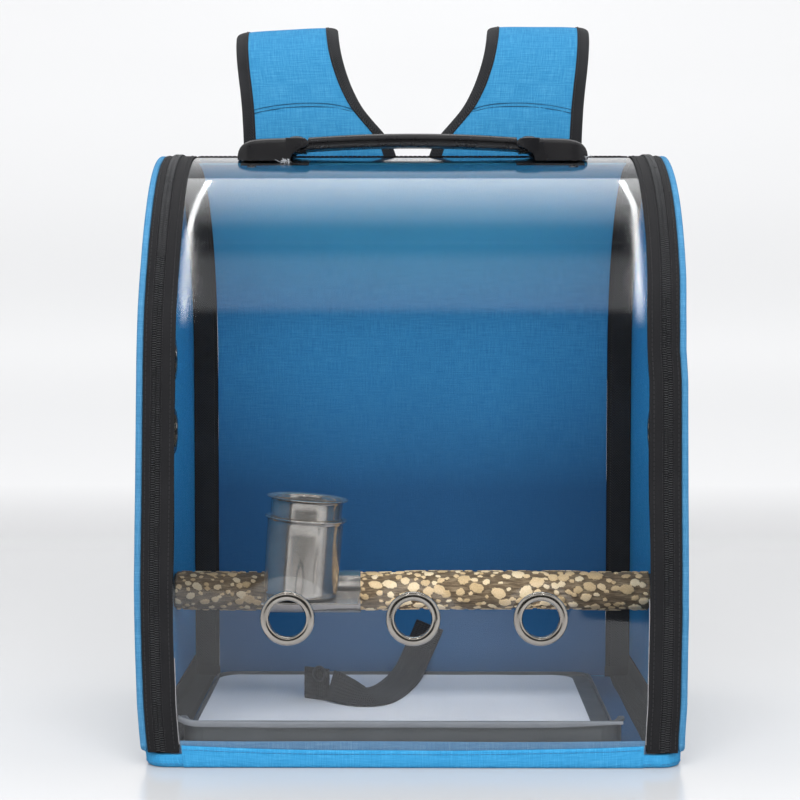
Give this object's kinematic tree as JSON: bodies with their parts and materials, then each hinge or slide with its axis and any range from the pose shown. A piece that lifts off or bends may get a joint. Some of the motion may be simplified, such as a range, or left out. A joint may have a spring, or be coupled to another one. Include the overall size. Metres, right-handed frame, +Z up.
{
  "type": "bird travel carrier",
  "caption": "Backpack bird carrier: arched fabric cabin with a clear front and top, zipped side doors, wooden perch, steel food cup, tray and carry handle.",
  "frame": {"origin": "on the ground, under the middle of the cabin's floor", "axes": "+X to the right as seen from the clear front, +Y from the clear front to the wearer's back, +Z up"},
  "size_m": [0.37, 0.298, 0.4885],
  "materials": {
    "blue_fabric": "heather woven polyester, sky blue",
    "lining_fabric": "plain woven lining, deeper blue",
    "black_tape": "woven zip and binding tape",
    "black_webbing": "ribbed webbing",
    "mesh_fabric": "padded air mesh",
    "liner_fabric": "absorbent white liner",
    "foam": "foam sheet inside the back",
    "stiffener": "stiffening board inside the fabric",
    "clear_sheet": "clear flexible sheet",
    "zip_coil": "moulded zip coil",
    "black_plastic": "moulded black plastic",
    "gloss_black": "glossy black plastic",
    "dark_metal": "black painted zinc",
    "nickel": "bright nickel plate",
    "steel": "spun stainless steel",
    "frame_rod": "springy frame rod",
    "wood": "knobby brown branch with pale knots"
  },
  "bodies": {
    "root": {"base_cover": "blue_fabric", "floor_board": "stiffener", "floor_lining": "lining_fabric", "front_hem_inner": "blue_fabric", "hinge_tapes": "black_tape", "clear_shell": "clear_sheet", "front_eyelets": "nickel", "top_seam_tape": "black_tape", "back_cover": "blue_fabric", "back_board": "stiffener", "back_foam": "foam", "back_lining": "lining_fabric", "back_pad": "mesh_fabric", "zip_tapes": "black_tape", "zip_coils": "zip_coil", "arch_rods": "frame_rod", "seam_bindings": "black_tape", "perch": "wood", "perch_washers": "black_plastic", "tray": "black_plastic", "tray_liner": "liner_fabric", "tether_strap": "black_webbing", "tether_loop": "black_webbing", "tether_ring": "dark_metal", "handle_cap_left": "gloss_black", "handle_cap_right": "gloss_black", "handle_backing": "black_plastic", "handle_screws": "nickel", "yoke_panel": "blue_fabric", "straps": "blue_fabric", "strap_buckles": "black_plastic", "strap_webbing": "black_webbing"},
    "grip": {"handle_grip": "gloss_black"},
    "feeder": {"feeder_clip": "steel", "feeder_holder": "steel", "feeder_rivet": "steel"},
    "food_cup": {"feeder_cup": "steel"},
    "door_left": {"door_board_left": "stiffener", "door_cover_left": "blue_fabric", "door_lining_left": "lining_fabric", "door_piping_left": "blue_fabric", "door_tape_left": "black_tape", "door_coil_left": "zip_coil", "door_eyelets_left": "nickel"},
    "bolt_left": {"perch_knob_left": "black_plastic", "perch_screw_left": "steel"},
    "slider_left": {"zip_slider_left": "dark_metal"},
    "pull_left": {"zip_pull_left": "dark_metal"},
    "door_right": {"door_board_right": "stiffener", "door_cover_right": "blue_fabric", "door_lining_right": "lining_fabric", "door_piping_right": "blue_fabric", "door_tape_right": "black_tape", "door_coil_right": "zip_coil", "door_eyelets_right": "nickel"},
    "bolt_right": {"perch_knob_right": "black_plastic", "perch_screw_right": "steel"},
    "slider_right": {"zip_slider_right": "dark_metal"},
    "pull_right": {"zip_pull_right": "dark_metal"}
  },
  "joints": [
    {"name": "grip_lift", "type": "slide", "parent": "root", "child": "grip", "axis": [0, 0, 1], "range_m": [0, 0.0044]},
    {"name": "feeder_slide", "type": "slide", "parent": "root", "child": "feeder", "axis": [1, 0, 0], "range_m": [-0.045, 0.185]},
    {"name": "cup_lift", "type": "slide", "parent": "feeder", "child": "food_cup", "axis": [0.0785, 0, 0.9969], "range_m": [0, 0.058]},
    {"name": "door_left_open", "type": "hinge", "parent": "root", "child": "door_left", "pos_m": [-0.173, 0, 0.01], "axis": [0, -1, 0], "range_deg": [0, 80]},
    {"name": "bolt_left_draw", "type": "slide", "parent": "door_left", "child": "bolt_left", "axis": [-1, 0, 0], "range_m": [0, 0.01]},
    {"name": "zip_left_slide", "type": "slide", "parent": "root", "child": "slider_left", "axis": [0, 0, 1], "range_m": [0, 0.195]},
    {"name": "pull_left_swing", "type": "hinge", "parent": "slider_left", "child": "pull_left", "pos_m": [-0.16, 0.1344, 0.0398], "axis": [1, 0, 0], "range_deg": [0, 150]},
    {"name": "door_right_open", "type": "hinge", "parent": "root", "child": "door_right", "pos_m": [0.173, 0, 0.01], "axis": [0, 1, 0], "range_deg": [0, 80]},
    {"name": "bolt_right_draw", "type": "slide", "parent": "door_right", "child": "bolt_right", "axis": [1, 0, 0], "range_m": [0, 0.01]},
    {"name": "zip_right_slide", "type": "slide", "parent": "root", "child": "slider_right", "axis": [0, 0, 1], "range_m": [0, 0.195]},
    {"name": "pull_right_swing", "type": "hinge", "parent": "slider_right", "child": "pull_right", "pos_m": [0.16, 0.1344, 0.0398], "axis": [1, 0, 0], "range_deg": [0, 150]}
  ]
}
